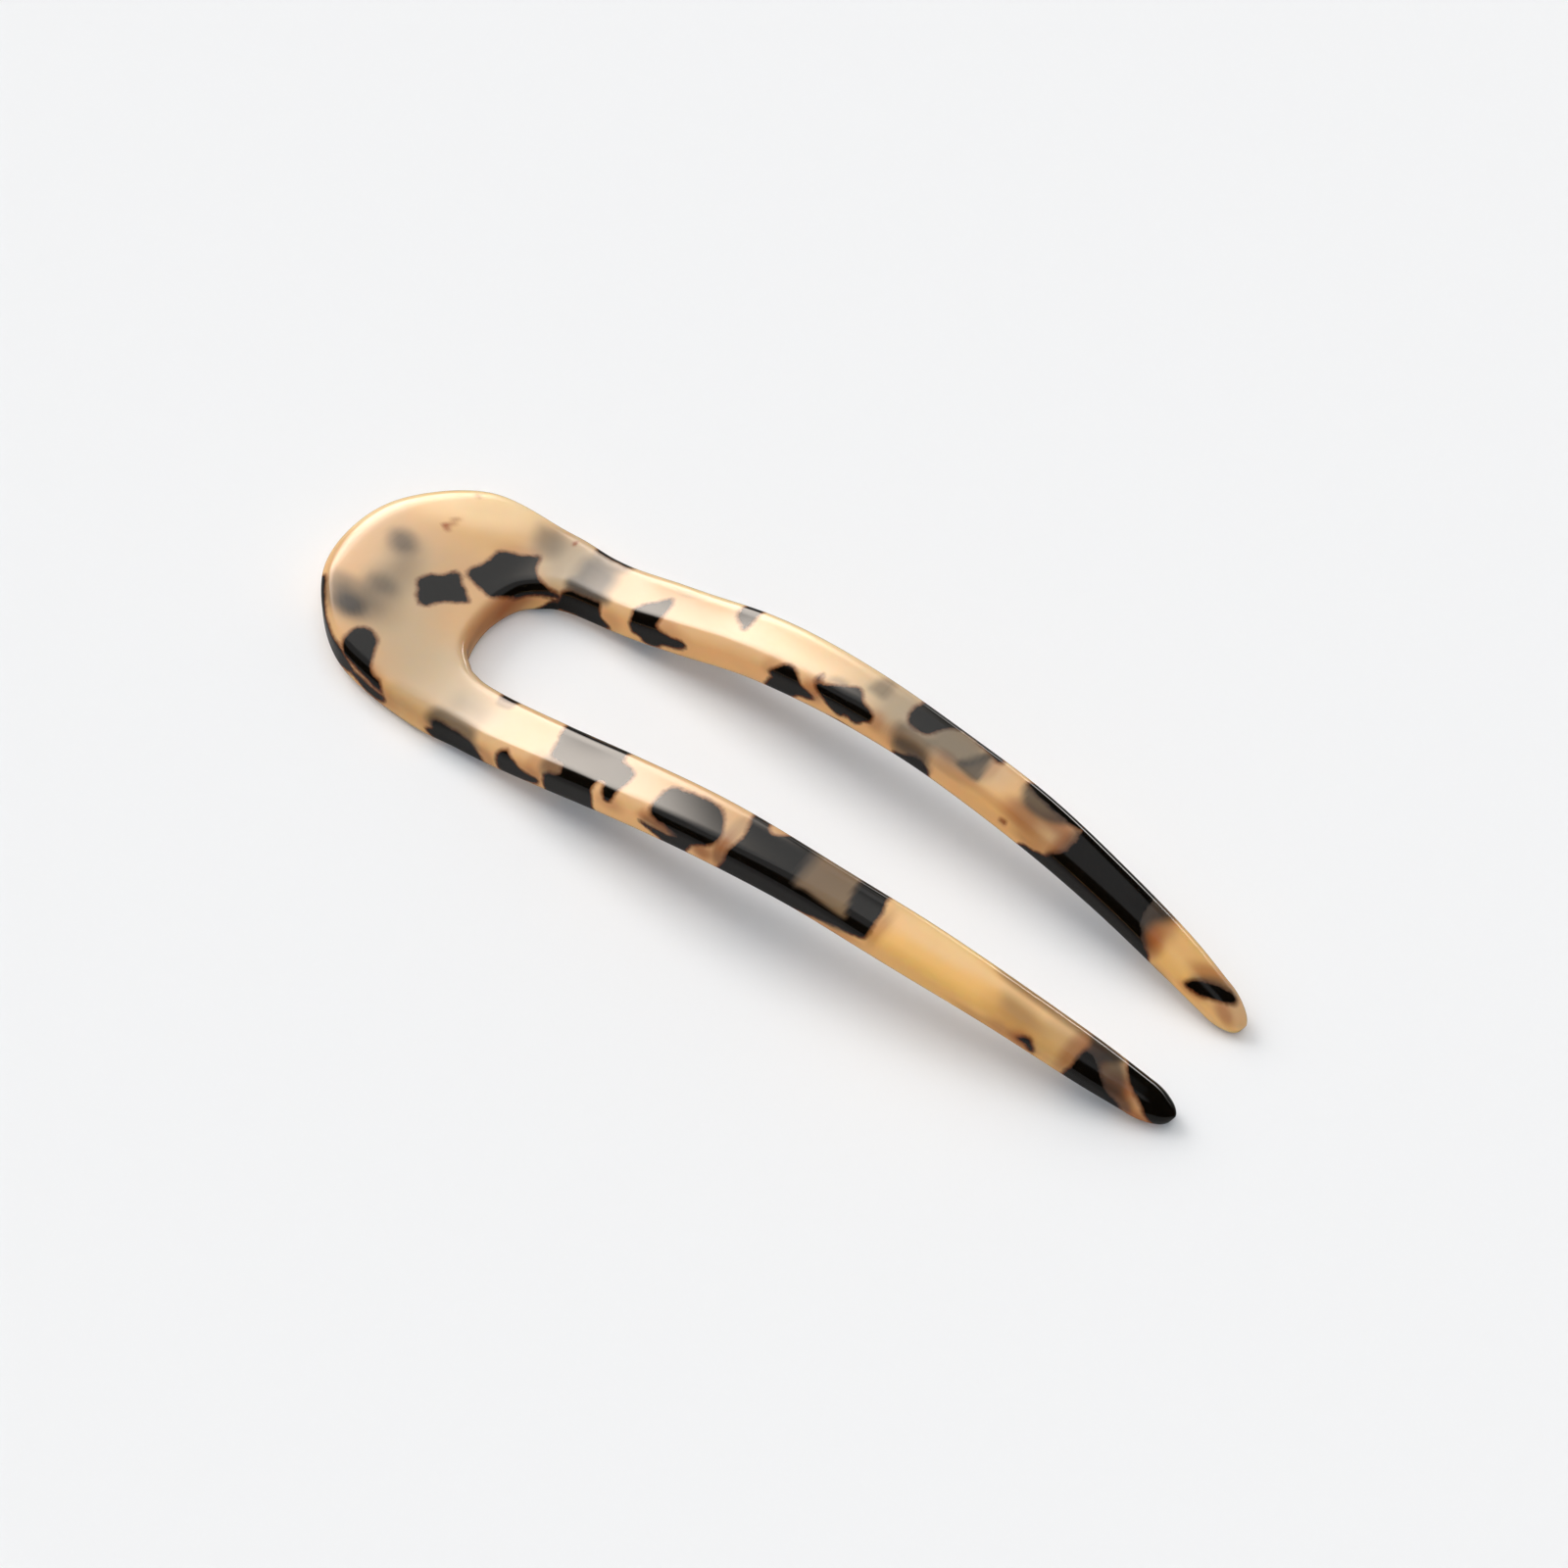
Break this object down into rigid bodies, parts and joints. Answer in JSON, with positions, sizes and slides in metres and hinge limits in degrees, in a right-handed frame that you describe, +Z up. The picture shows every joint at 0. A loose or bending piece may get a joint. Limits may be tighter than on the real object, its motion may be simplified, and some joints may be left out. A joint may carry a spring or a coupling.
{
  "type": "french hair pin",
  "caption": "One-piece U-shaped hair pin with a broad round head and two arched, tapering prongs, in glossy tortoiseshell acetate.",
  "frame": {"origin": "centre of the bounding box in X and Y, on the plane that the pin lies on", "axes": "+X along the pin from the head to the tips, +Y across the two prongs, +Z up from the surface it lies on"},
  "size_m": [0.1152, 0.031, 0.0127],
  "materials": {
    "acetate": "polished cellulose acetate, translucent cream and honey with brown-black tortoiseshell patches"
  },
  "bodies": {
    "root": {"hair_pin": "acetate"}
  },
  "joints": []
}
